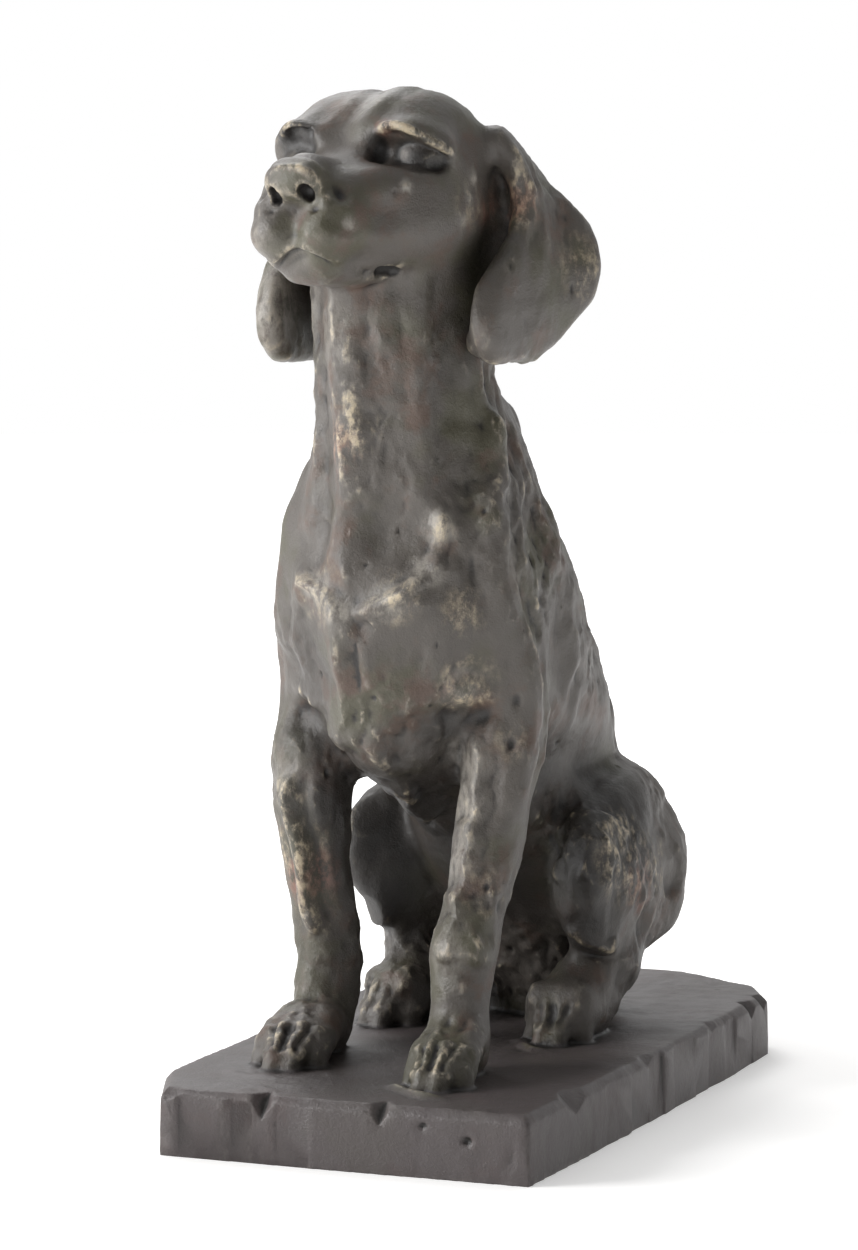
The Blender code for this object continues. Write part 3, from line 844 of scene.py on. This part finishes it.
def add(tree, kind, settings=None, links=None):
    """Add a node, set its properties or socket values, and link sockets to other nodes' outputs."""
    node = tree.nodes.new(kind)
    for name, value in (settings or {}).items():
        if isinstance(name, int) or name in node.inputs:
            node.inputs[name].default_value = value
        else:
            setattr(node, name, value)
    for name, source in (links or {}).items():
        tree.links.new(source, node.inputs[name])
    return node


def new_material(name):
    material = bpy.data.materials.new(name)
    material.use_nodes = True
    return material, material.node_tree, material.node_tree.nodes["Principled BSDF"]


print("dark bronze grey, linear:", [round(c, 3) for c in linear("5A564E")])

# %% The patina, painted shade and painted highlights
DARK_BRONZE = "514C47"
OLIVE_WASH = "4B483A"
WARM_BROWN = "55463D"
SLAB_GREY = "484142"
# Black for the patina in the hollows and for painted shade.
SHADE_AND_PATINA_BLACK = "1F1C1A"
# Light grey for wear on the ridges and for painted highlights and glints.
WEAR_AND_HIGHLIGHT_GREY = "8B867E"
OCHRE = "B5A78E"
RED_UNDERCOAT = "8C6557"

resin, tree, shader = new_material("cast_resin_with_brushed_bronze_patina")
where = add(tree, "ShaderNodeTexCoord").outputs["Object"]
drawn = add(tree, "ShaderNodeMapping", {"Scale": (1, 1, 0.6)}, {"Vector": where}).outputs["Vector"]
cloud = add(tree, "ShaderNodeTexNoise", {"Scale": per(38), "Detail": 3.0, "Roughness": 0.6}, {"Vector": where}).outputs["Fac"]
patch = add(tree, "ShaderNodeTexNoise", {"Scale": per(17), "Detail": 4.0, "Roughness": 0.65}, {"Vector": where}).outputs["Fac"]
speck = add(tree, "ShaderNodeTexNoise", {"Scale": per(2.6), "Detail": 5.0, "Roughness": 0.75}, {"Vector": where}).outputs["Fac"]
streak = add(tree, "ShaderNodeTexNoise", {"Scale": per(4.5), "Detail": 5.0, "Roughness": 0.7}, {"Vector": drawn}).outputs["Fac"]
grain = add(tree, "ShaderNodeTexNoise", {"Scale": per(0.7), "Detail": 2.0, "Roughness": 0.5}, {"Vector": where}).outputs["Fac"]


def attribute(name):
    return add(tree, "ShaderNodeAttribute", {"attribute_name": name}).outputs["Fac"]


def ramp(source, low, high):
    """0 below low, 1 above high, smooth between."""
    settings = {"interpolation_type": "SMOOTHSTEP", "From Min": low, "From Max": high}
    return add(tree, "ShaderNodeMapRange", settings, {"Value": source}).outputs["Result"]


def times(a, b):
    return add(tree, "ShaderNodeMath", {"operation": "MULTIPLY"}, {0: a, 1: b}).outputs[0]


def plus(a, b):
    return add(tree, "ShaderNodeMath", {"operation": "ADD"}, {0: a, 1: b}).outputs[0]


def layered(under, over, amount):
    """Colour over laid on the colour under, by amount."""
    node = add(tree, "ShaderNodeMix", {"data_type": "RGBA"})
    tree.links.new(amount, node.inputs[0])
    tree.links.new(under, node.inputs[6]) if not isinstance(under, str) else None
    if isinstance(under, str):
        node.inputs[6].default_value = linear(under)
    node.inputs[7].default_value = linear(over)
    return node.outputs[2]


worn, hollow, low_down = attribute("worn"), attribute("hollow"), attribute("low_down")
gold_rub, red_rub = attribute("gold_rub"), attribute("red_rub")
highlight_and_scuff, painted_shade = attribute("highlight_and_scuff"), attribute("painted_shade")
colour = layered(DARK_BRONZE, OLIVE_WASH, ramp(cloud, 0.48, 0.66))
colour = layered(colour, WARM_BROWN, ramp(patch, 0.50, 0.70))
colour = layered(colour, WEAR_AND_HIGHLIGHT_GREY, times(ramp(worn, 0.60, 1.0), ramp(streak, 0.42, 0.66)))
colour = layered(colour, SLAB_GREY, low_down)
# Painted shade: black in the listed shade patches, broken up by a cloud noise.
colour = layered(colour, SHADE_AND_PATINA_BLACK, times(painted_shade, ramp(cloud, 0.05, 0.40)))
# Dark patina in the fine hollows, and painted shade over broad concave places.
colour = layered(colour, SHADE_AND_PATINA_BLACK, ramp(hollow, 0.16, 0.80))
# Painted highlights and glints in light grey, with some scuffs, broken up by streaks.
colour = layered(colour, WEAR_AND_HIGHLIGHT_GREY, times(highlight_and_scuff, ramp(streak, 0.30, 0.62)))
colour = layered(colour, RED_UNDERCOAT, times(times(red_rub, ramp(patch, 0.36, 0.60)), ramp(streak, 0.40, 0.62)))
rub = times(plus(gold_rub, times(ramp(worn, 0.70, 1.0), ramp(low_down, 0.7, 0.0))), ramp(streak, 0.42, 0.64))
colour = layered(colour, OCHRE, times(times(rub, ramp(worn, 0.30, 0.62)), ramp(speck, 0.26, 0.70)))
tree.links.new(colour, shader.inputs["Base Color"])

SATIN = (0.36, 0.56)
satin = add(tree, "ShaderNodeMapRange", {"To Min": SATIN[0], "To Max": SATIN[1]}, {"Value": patch}).outputs["Result"]
tree.links.new(satin, shader.inputs["Roughness"])
shader.inputs["IOR"].default_value = 1.52
shader.inputs["Metallic"].default_value = 0.0
skin = add(tree, "ShaderNodeBump", {"Strength": 0.45, "Distance": 0.6 * MM}, {"Height": plus(times(grain, speck), speck)})
tree.links.new(skin.outputs["Normal"], shader.inputs["Normal"])
hound.data.materials.append(resin)
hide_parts("hound_on_slab")
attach(hound, "root")
print("patina:", len(tree.nodes), "nodes")

# %% [markdown]
# ## Floor, light and camera
#
# The photograph was taken in a white tent: a pale floor, a broad light high on the left and behind,
# and white walls that give a thin bright rim on both sides. The camera stands a little above the
# dog's feet, to its left, with a long lens.

# %% Floor
FLOOR_RADIUS = 6
GLOW_NEAR, GLOW_FAR = (0.15, 0.30), (0.6, 0.8)
bpy.ops.mesh.primitive_circle_add(vertices=64, radius=FLOOR_RADIUS, fill_type="NGON")
floor = bpy.context.object
floor.name = "pale_floor"
paper, paper_tree, paper_shader = new_material("matt_white_paper_with_painted_glow")
spot = add(paper_tree, "ShaderNodeTexCoord").outputs["Object"]
reach = add(paper_tree, "ShaderNodeVectorMath", {"operation": "LENGTH"}, {0: spot}).outputs["Value"]
spread = {"From Min": GLOW_NEAR[0], "From Max": GLOW_FAR[0], "To Min": GLOW_NEAR[1], "To Max": GLOW_FAR[1]}
glow = add(paper_tree, "ShaderNodeMapRange", spread, {"Value": reach}).outputs["Result"]
# Painted light: the floor glows of itself, least within 0.15 m of the middle and most beyond 0.6 m, so the far floor
# melts into the white backdrop.
paper_tree.links.new(glow, paper_shader.inputs["Emission Strength"])
paper_shader.inputs["Base Color"].default_value = linear("F4F3F2")
paper_shader.inputs["Roughness"].default_value = 0.9
paper_shader.inputs["Emission Color"].default_value = (1, 1, 1, 1)
floor.data.materials.append(paper)

# %% Lamps


def soft_box(name, place, aim, size, watts):
    """A square area light at place that looks at aim, in metres and watts."""
    lamp = bpy.data.lights.new(name, "AREA")
    lamp.shape, lamp.size, lamp.energy = "SQUARE", size, watts
    box = bpy.data.objects.new(name, lamp)
    box.location = place
    box.rotation_euler = (Vector(aim) - Vector(place)).to_track_quat("-Z", "Y").to_euler()
    bpy.context.scene.collection.objects.link(box)


CHEST = (0, 0, 0.2)
soft_box("key_left", (-1.4, -1.0, 0.75), CHEST, 0.7, 30)
soft_box("top_back", (-0.9, 1.0, 1.6), CHEST, 1.0, 14)

# %% Tent walls
WALL_LIGHT, OPEN_FRONT_LIGHT = 0.85, 0.08
bpy.context.scene.view_settings.view_transform = "Standard"
world = bpy.data.worlds.new("white_tent_open_to_the_front")
bpy.context.scene.world = world
world.use_nodes = True
tent = world.node_tree
walls = tent.nodes["Background"]
facing = add(tent, "ShaderNodeTexCoord").outputs["Generated"]
to_back = add(tent, "ShaderNodeVectorMath", {"operation": "DOT_PRODUCT", 1: (-0.75, 0.5, 0.4)}, {0: facing})
light = add(tent, "ShaderNodeMapRange", {"From Min": -0.5, "From Max": 0.5, "To Min": OPEN_FRONT_LIGHT, "To Max": WALL_LIGHT}, {"Value": to_back.outputs["Value"]})
seen = add(tent, "ShaderNodeLightPath").outputs["Is Camera Ray"]
strength = add(tent, "ShaderNodeMix", {3: 1.0}, {0: seen, 2: light.outputs["Result"]})
walls.inputs["Color"].default_value = (1, 1, 1, 1)
tent.links.new(strength.outputs[0], walls.inputs["Strength"])

# %% Camera
CAMERA_PLACE = (0.5690, -1.4307, 0.3107)
CAMERA_YAW = 0.392
CAMERA_DIP = 0.0873
LENS = 173.95

lens = bpy.data.cameras.new("camera")
lens.sensor_fit = "HORIZONTAL"
lens.sensor_width = 36
lens.lens = LENS
lens.clip_end = 20
camera = bpy.data.objects.new("camera", lens)
camera.location = CAMERA_PLACE
camera.rotation_euler = (pi / 2 - CAMERA_DIP, 0, CAMERA_YAW)
bpy.context.scene.collection.objects.link(camera)
bpy.context.scene.camera = camera
